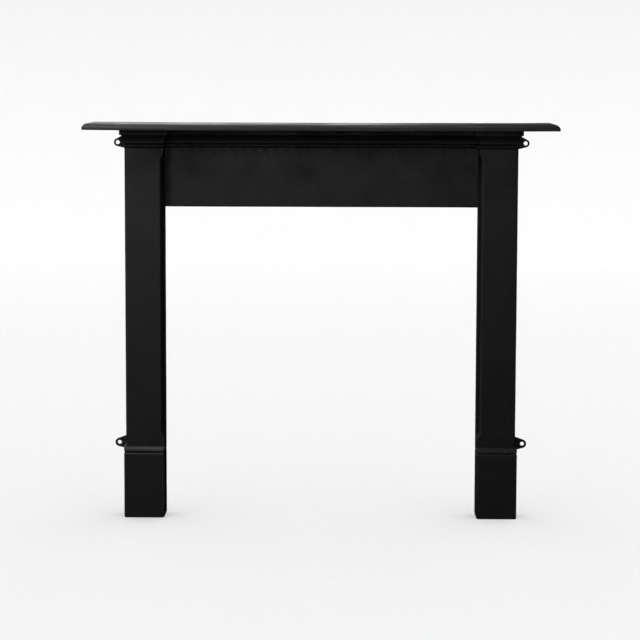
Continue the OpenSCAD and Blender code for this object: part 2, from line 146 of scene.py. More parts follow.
def travel(corners):
    """Unit vectors along the sides that arrive at and leave each corner of a closed polygon."""
    ahead = np.roll(corners, -1, axis=-2) - corners
    leaving = ahead / np.linalg.norm(ahead, axis=-1, keepdims=True)
    return np.roll(leaving, 1, axis=-2), leaving


def grown_in(corners, inset):
    """The sides of an anticlockwise polygon moved inwards by inset: each corner moves by the sum of
    its two inward normals over one plus their dot product. One inset a row draws a whole stack."""
    arriving, leaving = travel(corners)
    n0, n1 = left_of(arriving), left_of(leaving)
    shift = (n0 + n1) / (1 + (n0 * n1).sum(-1, keepdims=True))
    return corners + np.asarray(inset)[..., None, None] * shift


def let_in_by(radius, distance):
    """How far a rounded edge has drawn in at a distance from the face it rounds into."""
    left = np.clip(radius - distance, 0, radius)
    return radius - np.sqrt(radius ** 2 - left ** 2)


least_radius, support = 0.15, 2.5


def soft_outline(corners, radii, parts, arc_steps=4):
    """Replaces each corner of an anticlockwise polygon, or of a stack of them, by an arc that touches
    both sides. The arc starts radius * tan(turn / 2) before the corner, and its centre lies a radius
    to the side. Side i gets parts[i] stretches; from three on, the outer two are short, which keeps
    the flat flat."""
    corners = np.asarray(corners, float)
    radii = np.broadcast_to(np.maximum(radii, least_radius), corners.shape[:-1])
    arriving, leaving = travel(corners)
    turn = np.arctan2((left_of(arriving) * leaving).sum(-1), (arriving * leaving).sum(-1))
    start = corners - arriving * (radii * np.tan(np.abs(turn) / 2))[..., None]
    centre = start + left_of(arriving) * (np.sign(turn) * radii)[..., None]
    angle = turn[..., None] * np.linspace(0, 1, arc_steps + 1)
    spoke = (start - centre)[..., None, :]
    arc = (centre[..., None, :] + spoke * np.cos(angle)[..., None]
           + left_of(spoke) * np.sin(angle)[..., None])
    pieces = []
    for i, count in enumerate(parts):
        here, there = arc[..., i, -1, :], arc[..., (i + 1) % len(parts), 0, :]
        pieces.append(arc[..., i, :, :])
        if count > 1:
            length = np.linalg.norm(there - here, axis=-1)[..., None]
            edge = np.minimum(support / length, 0.3) if count > 2 else 0.5
            share = edge + (1 - 2 * edge) * np.linspace(0, 1, count - 1)
            pieces.append(here[..., None, :] + (there - here)[..., None, :] * share[..., None])
    return np.concatenate(pieces, axis=-2)


# %% A skin over a stack of loops
def put(name, data):
    """An object that holds data, linked to the scene."""
    item = bpy.data.objects.new(name, data)
    bpy.context.scene.collection.objects.link(item)
    return item


def solid(loops, ring=False):
    """A closed mesh over loops[row, column, xyz] in millimetres: quads between neighbouring rows, and
    a flat cap on the first and the last. With ring=True the last row joins the first instead, as in
    a washer. If the signed volume is negative, the faces are turned round."""
    rows, columns = loops.shape[:2]
    index = np.arange(rows * columns).reshape(rows, columns)
    lower = np.vstack([index, index[:1]]) if ring else index
    right = np.roll(lower, -1, axis=1)
    faces = np.stack([lower[:-1], right[:-1], right[1:], lower[1:]], -1).reshape(-1, 4).tolist()
    if not ring:
        faces += [index[0, ::-1].tolist(), index[-1].tolist()]
    points = (loops.reshape(-1, 3) + wall_origin) / 1000
    mesh = bpy.data.meshes.new("solid")
    mesh.from_pydata(points.tolist(), [], faces)
    built = bmesh.new()
    built.from_mesh(mesh)
    if built.calc_volume(signed=True) < 0:
        bmesh.ops.reverse_faces(built, faces=built.faces)
    built.to_mesh(mesh)
    built.free()
    return put("solid", mesh)


def stand(outline, height, axis="z"):
    """Lays a stack of flat outlines[row, column, uv] at their heights[row] along an axis. The
    outline is drawn as (x, y) for z, as (y, z) for x and as (x, z) for y."""
    u, v = outline[..., 0], outline[..., 1]
    w = np.broadcast_to(np.asarray(height)[:, None], u.shape)
    return np.stack({"z": (u, v, w), "x": (w, u, v), "y": (u, w, v)}[axis], -1)


def upright_box(near, far, front, back, z, radii, parts):
    """A skin over rectangles from near to far and from front to back, one at each height z."""
    corners = np.stack([near, back, near, front, far, front, far, back], -1).reshape(-1, 4, 2)
    return solid(stand(soft_outline(corners, radii, parts), z))


def rectangle(u0, u1, v0, v1):
    """The corners of a rectangle, anticlockwise."""
    return [[u0, v0], [u1, v0], [u1, v1], [u0, v1]]


edge_steps = 4


def plate(corners, radii, low, high, axis="z", edge=1.0, lip=2.0, parts=None, rows=1, arc_steps=4):
    """A flat piece with softened edges. Near each face the outline is drawn in by
    edge * (1 - sin a) at a depth of edge * (1 - cos a), for a from 0 to a quarter turn, and by lip
    more on the face itself, which keeps the face flat."""
    corners = np.asarray(corners, float)
    a = np.linspace(0, math.pi / 2, edge_steps + 1)
    inset = np.concatenate([[edge + lip], edge * (1 - np.sin(a))])
    depth = np.concatenate([[0], edge * (1 - np.cos(a))])
    middle = np.linspace(low + edge, high - edge, rows + 1)[1:-1]
    height = np.concatenate([low + depth, middle, (high - depth)[::-1]])
    inset = np.concatenate([inset, np.zeros(len(middle)), inset[::-1]])
    arriving, leaving = travel(corners)
    convex = (left_of(arriving) * leaving).sum(-1) > 0
    radius = np.asarray(radii) - np.where(convex, 1, -1) * inset[:, None]
    outlines = soft_outline(grown_in(corners, inset), radius, parts or [1] * len(corners), arc_steps)
    return solid(stand(outlines, height, axis))


def block(x0, x1, y0, y1, z0, z1, radius=1.2, edge=1.0, lip=0.8):
    """A plate with four corners, standing on z0."""
    return plate(rectangle(x0, x1, y0, y1), radius, z0, z1, edge=edge, lip=lip)


def circle(columns):
    """Angles round a circle, and the points of radius 1 at them."""
    angle = np.linspace(0, 2 * math.pi, columns, endpoint=False)
    return angle, np.stack([np.cos(angle), np.sin(angle)], -1)


def turned(profile, centre, axis="z", columns=40):
    """Circles of radius profile[:, 0] at profile[:, 1] along the axis, round a centre given in the
    two other directions."""
    outlines = profile[:, :1, None] * circle(columns)[1] + centre
    return solid(stand(outlines, profile[:, 1], axis))


def drill(radius, low, high, centre, axis="z", flare=0.6, columns=40):
    """A pin that cuts a hole with soft rims: it flares out by a quarter arc at both faces."""
    a = np.linspace(0, math.pi / 2, 4)
    out, along = flare * (1 - np.sin(a)), flare * (1 - np.cos(a))
    over = 2.0
    half = np.stack([np.append(radius + flare, radius + out), np.append(low - over, low + along)], -1)
    other = np.stack([half[::-1, 0], low + high - half[::-1, 1]], -1)
    return turned(np.concatenate([half, other]), centre, axis, columns)


# %% [markdown]
# ## Pattern and core
# A hollow casting is made with a pattern, which shapes the outside in the sand, and a core, which
# keeps the metal out of the inside. The same steps work here: the pattern is a closed skin, the core
# is cut away from it, and ribs, lugs and ears are added. The Boolean modifier's Manifold solver keeps
# closed meshes closed, so a casting is one closed surface, as the iron is.

# %% Cutting and joining
def discard(piece):
    """Removes an object and its mesh."""
    mesh = piece.data
    bpy.data.objects.remove(piece)
    bpy.data.meshes.remove(mesh)


def combine(body, tool, operation):
    """Applies one Boolean step to body and throws the tool away."""
    step = body.modifiers.new("step", "BOOLEAN")
    step.operation, step.solver, step.object = operation, "MANIFOLD", tool
    bpy.context.view_layer.update()
    shaped = body.evaluated_get(bpy.context.evaluated_depsgraph_get())
    before = body.data
    after = bpy.data.meshes.new_from_object(shaped)
    body.modifiers.clear()
    body.data = after
    bpy.data.meshes.remove(before)
    discard(tool)


def cast(pattern, adds=(), cuts=()):
    """pattern joined with each of adds, and then cut by each of cuts."""
    for tool in adds:
        combine(pattern, tool, "UNION")
    for tool in cuts:
        combine(pattern, tool, "DIFFERENCE")
    return pattern


def points_of(piece):
    """The vertices of a piece as an array, in bench millimetres."""
    flat = np.empty(len(piece.data.vertices) * 3, np.float32)
    piece.data.vertices.foreach_get("co", flat)
    return flat.reshape(-1, 3).astype(float) * 1000 - wall_origin


def set_points(piece, points):
    """Writes bench millimetres back into the mesh."""
    piece.data.vertices.foreach_set("co", ((points + wall_origin) / 1000).astype(np.float32).ravel())
    piece.data.update()


# %% [markdown]
# ## The finish of a casting
# Iron comes out of the sand slightly wavy, and the fettler's wheel and years of polishing make the
# arrises smoother than the faces and a little paler; the finish pales them further as a painted
# highlight along each arris. One function moves the points by a sum of slow waves,
# well under half a millimetre, and one writes an attribute that is 1 on a rounded arris and 0 on a
# flat. The finish reads it. It is measured on the mesh, so it looks the same from every side.

# %% Waves and worn arrises
wave_lengths = np.array([410.0, 230.0, 127.0])
wave_turns = np.array([0.3, 1.9, 4.1])
wave_ways = np.array([[1.0, 0.35, 0.55], [0.4, 0.2, 1.0], [0.9, -0.5, -0.3]])


def waved(points, size, seed):
    """Moves each point by a third of size times one or two of three slow sine waves, which run along
    slanting directions. x, y and z follow different ones, so nothing repeats."""
    swing = np.sin(2 * math.pi * (points @ wave_ways.T) / wave_lengths + (wave_turns + seed))
    push = np.stack([swing[:, 1], swing[:, 0] + swing[:, 2], swing[:, 0] - swing[:, 1]], -1) / 3
    return points + size * push


def bends_of(mesh):
    """The signed angle between the faces of every edge, and its two vertices."""
    built = bmesh.new()
    built.from_mesh(mesh)
    bend = np.array([e.calc_face_angle_signed(0.0) for e in built.edges])
    ends = np.array([[v.index for v in e.verts] for e in built.edges])
    built.free()
    return bend, ends


# The first angle is the bend at which an arris is fully paled, partly as wear and partly as a painted
# highlight.
wear_and_highlight_angle, sharp_angle = 14.0, math.radians(38)


def mark_arrises(mesh, bend, ends):
    """Writes the attribute "arris" on each vertex: the largest convex angle of any edge there, over
    wear_and_highlight_angle degrees, at most 1. Hollow edges count as nothing. The finish pales the
    arrises by it, partly as rubbed wear and partly as a painted highlight."""
    share = np.clip(np.degrees(bend) / wear_and_highlight_angle, 0, 1)
    arris_wear_and_highlight = np.zeros(len(mesh.vertices), np.float32)
    np.maximum.at(arris_wear_and_highlight, ends.ravel(), np.repeat(share, 2).astype(np.float32))
    mesh.attributes.new("arris", "FLOAT", "POINT").data.foreach_set("value", arris_wear_and_highlight)
    return arris_wear_and_highlight


def smooth(piece, bend):
    """Smooth shading with creases over the sharp angle; broad faces lead where they meet arcs."""
    mesh = piece.data
    mesh.shade_smooth()
    crease = mesh.attributes.get("sharp_edge") or mesh.attributes.new("sharp_edge", "BOOLEAN", "EDGE")
    crease.data.foreach_set("value", np.abs(bend) > sharp_angle)
    even = piece.modifiers.new("even_normals", "WEIGHTED_NORMAL")
    even.keep_sharp, even.weight = True, 90


def finish_piece(piece, name, node, material):
    """Names a piece, gives it its body and finish, and hides the measured node that it stands for."""
    piece.name = piece.data.name = name
    bend, ends = bends_of(piece.data)
    arris_wear_and_highlight = mark_arrises(piece.data, bend, ends)
    smooth(piece, bend)
    piece.data.materials.clear()
    piece.data.materials.append(material)
    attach(piece, "root")
    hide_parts(node)
    print(f"{name}: {len(piece.data.vertices)} points, {arris_wear_and_highlight.mean():.0%} on arrises")


# %% [markdown]
# ## The black finish
# The surround is sprayed satin black over the cast skin. Close up it shows a fine sandy grain, and
# from across the room slow clouds where the paint lies thicker or is rubbed. One dark colour
# would look like plastic, so the colour, the roughness and the bump follow noise at scales of their
# own, in Object coordinates, which are metres here. Every casting starts its noise at another place,
# so no cloud runs over a joint.

# %% Node helpers
def wire(node, inputs):
    """Feeds a node's inputs, by name or number: a socket is linked, anything else is set."""
    for key, value in inputs.items():
        if isinstance(value, bpy.types.NodeSocket):
            node.id_data.links.new(value, node.inputs[key])
        else:
            node.inputs[key].default_value = value
    return node


def new_material(name):
    """An empty node material, its node tree and its Principled shader."""
    material = bpy.data.materials.new(name)
    material.use_nodes = True
    tree = material.node_tree
    tree.nodes.clear()
    shader = tree.nodes.new("ShaderNodeBsdfPrincipled")
    wire(tree.nodes.new("ShaderNodeOutputMaterial"), {"Surface": shader.outputs["BSDF"]})
    return material, tree, shader


def add_node(tree, kind, **inputs):
    """Adds a node; inputs go by socket name, with _ for a blank."""
    return wire(tree.nodes.new(kind), {name.replace("_", " "): value for name, value in inputs.items()})


def arithmetic(tree, operation, *values):
    """A Math node over two or three values."""
    node = tree.nodes.new("ShaderNodeMath")
    node.operation = operation
    return wire(node, dict(enumerate(values))).outputs[0]


def ramp(tree, value, low, high, from_value, to_value):
    """value mapped from low..high to from_value..to_value, and held at the ends."""
    node = add_node(tree, "ShaderNodeMapRange", Value=value, From_Min=low, From_Max=high,
                    To_Min=from_value, To_Max=to_value)
    node.clamp = True
    return node.outputs["Result"]


def mix_colour(tree, share, first, second):
    """first where share is 0, second where it is 1. The colours are sockets 6 and 7."""
    node = tree.nodes.new("ShaderNodeMix")
    node.data_type = "RGBA"
    return wire(node, {0: share, 6: first, 7: second}).outputs[2]


def noise(tree, place, size_mm, detail, roughness):
    """Noise with lumps about size_mm across."""
    return add_node(tree, "ShaderNodeTexNoise", Vector=place, Scale=1000 / size_mm,
                    Detail=detail, Roughness=roughness).outputs["Fac"]


# %% Satin black iron
paint_dark = (0.0008, 0.0008, 0.0009, 1)
paint_light = (0.0030, 0.0030, 0.0031, 1)
# A paler grey for the arrises: partly rubbed wear, partly a painted highlight along each arris.
wear_and_highlight_grey = (0.008, 0.008, 0.008, 1)
cloud_mm, mark_mm, grain_mm, mark_share = 150, 14, 1.1, 0.35


def black_iron(name, start, rougher=0.58, smoother=0.39):
    """Satin black over cast iron. The roughness follows slow clouds plus mark_share times the fettling
    marks. Arrises turn smoother, and paler by rubbed wear and a painted highlight, by their attribute
    times a ramp of the marks."""
    material, tree, shader = new_material(name)
    place = add_node(tree, "ShaderNodeMapping", Location=start,
                     Vector=add_node(tree, "ShaderNodeTexCoord").outputs["Object"]).outputs["Vector"]
    clouds = noise(tree, place, cloud_mm, 4, 0.55)
    marks = noise(tree, place, mark_mm, 4, 0.6)
    grain = noise(tree, place, grain_mm, 3, 0.6)
    arris = tree.nodes.new("ShaderNodeAttribute")
    arris.attribute_name = "arris"
    patchy = ramp(tree, marks, 0.35, 0.65, 0.25, 1.0)
    # The arris attribute times patchy marks: where the colour pales, as rubbed wear and as a painted
    # highlight.
    wear_and_highlight_share = arithmetic(tree, "MULTIPLY", arris.outputs["Fac"], patchy)
    paint = mix_colour(tree, ramp(tree, clouds, 0.35, 0.68, 0, 1), paint_dark, paint_light)
    blend = arithmetic(tree, "MULTIPLY_ADD", marks, mark_share, clouds)
    satin = ramp(tree, blend, 0.53, 0.83, rougher, smoother)
    slow = add_node(tree, "ShaderNodeBump", Strength=0.35, Distance=0.0006, Height=marks)
    fine = add_node(tree, "ShaderNodeBump", Strength=0.30, Distance=0.00012, Height=grain,
                    Normal=slow.outputs["Normal"])
    wire(shader, {"Base Color": mix_colour(tree, wear_and_highlight_share, paint, wear_and_highlight_grey),
                  "Roughness": arithmetic(tree, "SUBTRACT", satin, ramp(tree, wear_and_highlight_share, 0, 1, 0, 0.05)),
                  "Normal": fine.outputs["Normal"], "Specular IOR Level": 0.30})
    return material


# %% Dull zinc
zinc_dark, zinc_light = (0.20, 0.205, 0.215, 1), (0.47, 0.48, 0.50, 1)


def dull_zinc(name):
    """Zinc plate that has gone matt: a light grey metal with darker blotches 5 mm across."""
    material, tree, shader = new_material(name)
    place = add_node(tree, "ShaderNodeTexCoord").outputs["Object"]
    blotch = noise(tree, place, 5, 4, 0.6)
    scratch = noise(tree, place, 0.5, 2, 0.5)
    bump = add_node(tree, "ShaderNodeBump", Strength=0.2, Distance=0.00005, Height=scratch)
    tone = ramp(tree, blotch, 0.4, 0.62, 0, 1)
    wire(shader, {"Base Color": mix_colour(tree, tone, zinc_dark, zinc_light),
                  "Roughness": ramp(tree, blotch, 0.35, 0.65, 0.52, 0.34),
                  "Normal": bump.outputs["Normal"], "Metallic": 1.0})
    return material


zinc = dull_zinc("dull_zinc")

# %% [markdown]
# ## The cornice
# Frieze and legs share one moulding under the shelf: a flat fascia, a hollow (the cavetto), a fine
# groove called a quirk, a bead and a small splay. It is drawn once, as the distance out from the
# plain face against the height, and carried round each leg and along the frieze. That makes the
# pieces meet.

# %% The cornice as a profile
fascia_h, cove_h, cove_out, cove_foot = 17.5, 24.3, 9.5, 3.0
quirk_h, quirk_in, bead_out, bead_r, splay_h = 4.2, 3.0, 1.0, 2.75, 4.5
cornice_h = fascia_h + cove_h + quirk_h + 2 * bead_r + splay_h
shaft_top_z = seat_z - cornice_h


def arc_points(cx, cy, radius, start, end, steps):
    """Points on an arc, angles in degrees from the x direction."""
    a = np.radians(np.linspace(start, end, steps + 1))
    return np.stack([cx + radius * np.cos(a), cy + radius * np.sin(a)], -1)


def cornice_profile(soft=0.9):
    """(distance out, height) from the foot of the splay up to the seat of the shelf, with arrises of
    radius soft. The hollow is an arc struck from a centre level with its foot, of radius
    (w^2 + h^2) / 2w for a hollow w deep and h high."""
    w = cove_out - cove_foot
    radius = (w * w + cove_h * cove_h) / (2 * w)
    rise = math.degrees(math.asin(cove_h / radius))
    lip_z, bead_z = -fascia_h - cove_h, -cornice_h + splay_h + bead_r
    parts = [
        [[0, -cornice_h], [bead_out + bead_r / 2 - 0.3, bead_z - bead_r - 0.5],
         [bead_out + bead_r / 2, bead_z - bead_r]],
        arc_points(bead_out, bead_z, bead_r, -66, 95, 12),
        [[-quirk_in, lip_z - quirk_h + 0.2], [-quirk_in, lip_z - quirk_h + 0.5], [0.2, lip_z - 0.1]],
        arc_points(cove_foot - soft, lip_z + soft, soft, -90, 0, 4),
        arc_points(cove_foot + radius, lip_z, radius, 178, 180 - rise, 16),
        arc_points(cornice_out - soft, -fascia_h + soft, soft, -90, 0, 4),
        [[cornice_out, -fascia_h / 2]],
        arc_points(cornice_out - soft / 2, -soft / 2, soft / 2, 0, 90, 3),
    ]
    return np.concatenate([np.asarray(p, float) for p in parts]) + [0, seat_z]


cornice = cornice_profile()
print("cornice:", cornice_h, "mm high in", len(cornice), "points")

# %% [markdown]
# ## The legs
# Each leg is an open-backed channel. Its inner front arris has a chamfer that dies out at both ends
# in a stop shaped like an ogee. The whole outside is one stack of loops: at every height the plan is
# the same five-cornered outline, let out by the cornice and with its chamfer as wide as that height
# asks. So the moulding, its mitres and the stopped chamfer need no cutting. The core, the webs that
# stiffen the front wall, the lugs for the frieze's bolts, the ears and the holes follow.

# %% The stopped chamfer
chamfer_w, stop_top_l, stop_top_gap, stop_foot_l, stop_foot_gap = 10.5, 31.0, 6.0, 27.0, 18.0
leg_arris_r, cornice_arris_r, chamfer_r, chamfer_face_r, back_r = 5.0, 1.5, 1.4, 7.0, 0.8
stop_foot_z = roll_top_z + stop_foot_gap
stop_top_z = shaft_top_z - stop_top_gap
least_chamfer = chamfer_r * (2 - math.sqrt(2)) + 0.3  # two 45 degree arcs and a hair between them


def chamfer_at(z):
    """Width of the chamfer at height z: half a cosine wave up from its foot and down to its top."""
    rise = np.clip((z - stop_foot_z) / stop_foot_l, 0, 1)
    fall = np.clip((stop_top_z - z) / stop_top_l, 0, 1)
    share = (1 - np.cos(math.pi * rise)) / 2 * (1 - np.cos(math.pi * fall)) / 2
    return np.maximum(chamfer_w * share, least_chamfer)


# %% The leg's outside
def leg_pattern():
    """Plan outlines of a leg, stacked from its foot to the seat of the shelf."""
    shaft = np.concatenate([
        [leg_foot_z, roll_top_z],
        np.linspace(stop_foot_z - 4, stop_foot_z + stop_foot_l + 2, 16),
        np.linspace(stop_foot_z + stop_foot_l + 20, stop_top_z - stop_top_l - 20, 22),
        np.linspace(stop_top_z - stop_top_l - 3, shaft_top_z - 0.5, 22),
    ])
    out, z = np.vstack([np.stack([0 * shaft, shaft], -1), cornice]).T
    cut = chamfer_at(z)
    near, far, front = -out, leg_w + out, -(leg_depth + out)
    back = np.zeros_like(z)
    corners = np.stack([near, back, near, front + cut, near + cut, front, far, front, far, back], -1)
    arris = np.where(out > 0.5, cornice_arris_r, leg_arris_r)
    face = np.minimum(chamfer_r + 1.5 * (cut - least_chamfer), chamfer_face_r)
    soft = np.stack([back + back_r, back + chamfer_r, face, arris, back + back_r], -1)
    outline = soft_outline(corners.reshape(-1, 5, 2), soft, parts=[5, 4, 8, 5, 6])
    return solid(stand(outline, z))


def leg_roll():
    """The roll that ends the leg, a quarter round that rises roll_over past its measured height:
    rectangles let in at the front by r - sqrt(r^2 - up^2) at a height up. Its ends stand flush with
    the block's."""
    a = np.linspace(0, math.pi / 2, 17)
    r = roll_h + roll_over
    up = np.unique(np.concatenate([r * np.sin(a), roll_soft_r * (1 - np.cos(a[::4])),
                                   r - foot_end_r * (1 - np.cos(a[::4]))]).round(3))
    lower = let_in_by(roll_soft_r, up)
    arc = r - np.sqrt(r ** 2 - up ** 2)
    near, far = lower + 0.1, foot_w - lower - let_in_by(foot_end_r, r - up)
    front, back = arc + lower - foot_depth, np.zeros_like(up)
    arris = np.maximum(foot_arris_r - arc, 1.2)
    radii = np.stack([back + back_r, arris, arris, back + back_r], -1)
    return upright_box(near, far, front, back, leg_foot_z + up, radii, [5, 8, 5, 6])


# %% What the leg carries inside
clear = 12.0  # how far a cutting tool runs past the wall plane
fillet = 3.0
lug_x, lug_z = leg_wall + boss_r + 8, [opening_h + 50, opening_h + 142]
foot_bolt_x, foot_bolt_y = [foot_w / 2 - 29, foot_w / 2 + 29], -leg_depth / 2
leg_bolt_y = [-leg_depth / 3 + 1, -leg_depth * 4 / 5]
back_y = frieze_wall + face_y
frieze_bolt_y, shelf_bolt_x = face_y + 8, 300.0
relief_z, relief_out = flange_z - (fascia_h - flange_t + 4), 2.0


def hollow(x0, x1, depth, z0, z1, edge=fillet):
    """A core that is open to the wall, with filleted corners."""
    return block(x0, x1, -depth, clear, z0, z1, radius=5.0, edge=edge, lip=1.0)


def frieze_lug(z):
    """A lug with a round end, on the inner side wall."""
    r = boss_r + 7
    return plate(rectangle(leg_wall / 2, lug_x + r, z - r, z + r), [1.2, r - 0.1, r - 0.1, 1.2],
                 face_y - flange_t, face_y, axis="y")


ear_t, ear_reach, ear_hole_r = 7.0, 25.5, 6.0
ear_low_z, ear_high_z = leg_foot_z + 14, seat_z - 41


def ear(z, r, rise, fall):
    """A wall ear: a round end of radius r about its hole, with edges along tangents that rise and
    fall by angles in degrees. A tangent at an angle a stands (r + d sin a) / cos a from the middle
    line at a distance d before the hole."""
    hole_x, root, sunk = leg_w + ear_reach, leg_w - leg_wall / 2, leg_w - 0.3
    up, down = math.radians(rise), math.radians(fall)
    top = [z + (r + d * math.sin(up)) / math.cos(up) for d in (-r, hole_x - sunk)]
    low = [z - (r + d * math.sin(down)) / math.cos(down) for d in (-r, hole_x - root)]
    corners = [[root, low[1]], [hole_x + r, low[0]], [hole_x + r, top[0]], [sunk, top[1]],
               [sunk, top[1] + 5], [root, top[1] + 5]]
    return plate(corners, [1.2, r - 0.05, r - 0.05, 5.0, 0.3, 1.2], -ear_t, 0, axis="y",
                 edge=0.9, lip=1.2, arc_steps=7)


# %% One leg
def leg_casting():
    """Pattern, roll, webs, lugs and ears, less the core, the notch for the frieze and the holes."""
    web_pitch = (opening_h - roll_top_z) / 3
    web_z = [roll_top_z + (i + 0.5) * web_pitch for i in range(3)]
    sunk = leg_wall - 1.2  # the webs stay behind the face of the chamfer
    body = cast(leg_pattern(), adds=[leg_roll()], cuts=[
        hollow(leg_wall, leg_w - leg_wall, leg_depth - leg_wall, leg_foot_z + flange_t, flange_z),
        hollow(leg_wall, leg_w + relief_out, leg_depth + relief_out, relief_z, flange_z, edge=1.5),
    ])
    adds = [block(sunk, leg_w - sunk, sunk - leg_depth, leg_wall / 2 - leg_depth + web_depth,
                  z, z + rib_t) for z in web_z]
    adds += [frieze_lug(z) for z in lug_z]
    adds += [ear(ear_low_z, 12.5, 20, 15), ear(ear_high_z, 11.5, 28, 14)]
    cuts = [block(-leg_depth, leg_wall + joint_gap, face_y - joint_gap, clear,
                  opening_h - joint_gap, seat_z + clear, radius=0.6, edge=0.6)]
    cuts += [drill(hole_r, face_y - flange_t, 0, (lug_x, z), "y") for z in lug_z]
    cuts += [drill(ear_hole_r, -ear_t, 0, (leg_w + ear_reach, z), "y", flare=0.5)
             for z in (ear_low_z, ear_high_z)]
    cuts += [drill(hole_r, flange_z, seat_z, (leg_w / 2, y)) for y in leg_bolt_y]
    cuts += [drill(hole_r, leg_foot_z, leg_foot_z + flange_t, (x, foot_bolt_y)) for x in foot_bolt_x]
    core_hole = (leg_w / 2, (leg_wall - leg_depth) / 2)
    cuts.append(drill(leg_depth / 8, leg_foot_z, leg_foot_z + flange_t, core_hole))
    return cast(body, adds, cuts)


# %% [markdown]
# ## Left and right
# A leg and a foot block are drawn once, with x = 0 on the inner face. The right one is moved out to
# the side of the opening. The left one is mirrored, and its faces, now inside out, are turned round
# again. Each gets waves of its own, as no two castings are alike.

# %% Placing a handed casting
casting_wave = 0.22


def handed(piece, side):
    """Moves a casting to the right (side 1) or mirrors it to the left (side -1)."""
    points = points_of(piece)
    points[:, 0] = side * (points[:, 0] + jamb_x)
    set_points(piece, points)
    if side < 0:
        piece.data.flip_normals()
    return piece


def settle(piece, seed, size=casting_wave):
    """Waves a casting and holds it inside the measured model's outer box."""
    low, high = (np.array(corner) * 1000 - wall_origin for corner in (cad_low, cad_high))
    set_points(piece, np.clip(waved(points_of(piece), size, seed), low, high))
    return piece


def blacken(piece, node, start, **satin):
    """Names and finishes a casting that stands for a measured node."""
    short = node.replace("mantel_", "").replace("_block", "")
    finish_piece(piece, f"{node}_casting", node,
                 black_iron(f"black_iron_{short}", start, **satin))


for side, word, seed in ((-1, "left", 0.7), (1, "right", 2.9)):
    leg = settle(handed(leg_casting(), side), seed)
    blacken(leg, f"{word}_leg", (seed, 0.3 * side, 0.1))

# %% [markdown]
# ## The frieze
# The frieze is a thin plate stiffened like a girder: a return along its lower edge, a flange along
# its top and ribs between. Its ends lap behind the legs, where bolts catch them, and the ends of its
# cornice are coped: cut to the reverse of the moulding that they meet. The section is carried along
# x as one plate. The cornice is a stack of rectangles, let out in front and drawn in at the ends by
# the same distance, and that alone makes the cope.

# %% The frieze casting
frieze_half = jamb_x - joint_gap


def lugs(side):
    """(x, z) of the bolts that join the frieze to the leg on one side."""
    return [(side * (jamb_x + lug_x), z) for z in lug_z]


def frieze_plate():
    """The frieze's section, drawn as (y, z): face plate, bottom return and top flange."""
    return_z = opening_h + frieze_wall
    corners = [[face_y, opening_h], [0, opening_h], [0, return_z], [back_y, return_z],
               [back_y, flange_z], [0, flange_z], [0, seat_z], [face_y, seat_z]]
    return plate(corners, [3.0, 0.9, 0.9, 4.0, 4.0, 0.9, 0.5, 0.5], -frieze_half, frieze_half, axis="x",
                 edge=0.7, lip=1.0, parts=[1] * 7 + [7], rows=30)


def frieze_cornice():
    """Rectangles at each point of the cornice: out in front by the profile, in at the ends by it."""
    start = cornice[:1] - [0.6, 1.1]
    out, z = np.concatenate([start, cornice]).T
    near, back = face_y - out, np.full_like(out, face_y + 4)
    end = frieze_half - np.maximum(out, 0)
    return upright_box(-end, end, near, back, z, [0.5, 0.6, 0.6, 0.5], [1, 30, 1, 30])


def frieze_casting():
    """Plate, cornice, laps and ribs, less the relief behind the fascia, the quirk and the holes."""
    ribs = 4
    pitch = 2 * jamb_x / ribs
    adds = [frieze_cornice()]
    for side in (-1, 1):
        x0, x1 = sorted([side * (jamb_x - 3), side * (jamb_x + frieze_lap)])
        outer = [0.9, 5.0, 5.0, 0.9] if side > 0 else [5.0, 0.9, 0.9, 5.0]
        adds.append(plate(rectangle(x0, x1, opening_h, flange_z - joint_gap), outer, face_y, back_y,
                          axis="y", edge=0.8))
    for i in range(ribs):
        x = (i + 0.5) * pitch - jamb_x
        adds.append(plate(rectangle(back_y - 2, -4, opening_h + 2, shaft_top_z), [1, 1, 5, 1],
                          x - rib_t / 2, x + rib_t / 2, axis="x", edge=1.2, lip=0.8))
    relief_x = frieze_half - 2 * cornice_out
    quirk_top = seat_z - fascia_h - cove_h
    foot, root, mouth = quirk_top - quirk_h + 0.2, face_y + quirk_in, face_y - 0.3
    groove = [[mouth, foot], [root, foot], [root, quirk_top - quirk_h + 0.5], [mouth, quirk_top - 0.1]]
    cuts = [block(-relief_x, relief_x, face_y - relief_out, clear, relief_z, flange_z,
                  radius=3, edge=1.2),
            plate(groove, 0.1, -frieze_half - 2, frieze_half + 2, axis="x", edge=0.1, lip=0.05)]
    cuts += [drill(hole_r, flange_z, seat_z, (i * shelf_bolt_x, frieze_bolt_y)) for i in (-1, 0, 1)]
    cuts += [drill(hole_r, face_y, back_y, place, "y") for side in (-1, 1) for place in lugs(side)]
    return cast(frieze_plate(), adds, cuts)


frieze = settle(frieze_casting(), 1.7)
blacken(frieze, "frieze", (0.4, 0.9, 0.25), rougher=0.52, smoother=0.32)

# %% [markdown]
# ## The mantel shelf
# The shelf looks like a thick slab and is a shallow tray turned upside down, with a rim round the
# front and the ends. Its edge is a quarter round over a small square. Each loop is a rectangle let
# in by the profile's distance, so the mitres come by themselves. Long thin castings cool unevenly
# and draw down in the middle, which the photograph shows as tips that stand high.

# %% The edge of the shelf
slab_h, ovolo_h, ovolo_w = top_z - seat_z, 12.5, 17.0
shelf_plate, rim_t, tip_r = 8.0, 12.0, 2.5
under_rows, over_rows = (60, 25, 6), (26, 45, 75, 110, 150, 185)
under_slope, over_slope = 0.05, 0.06


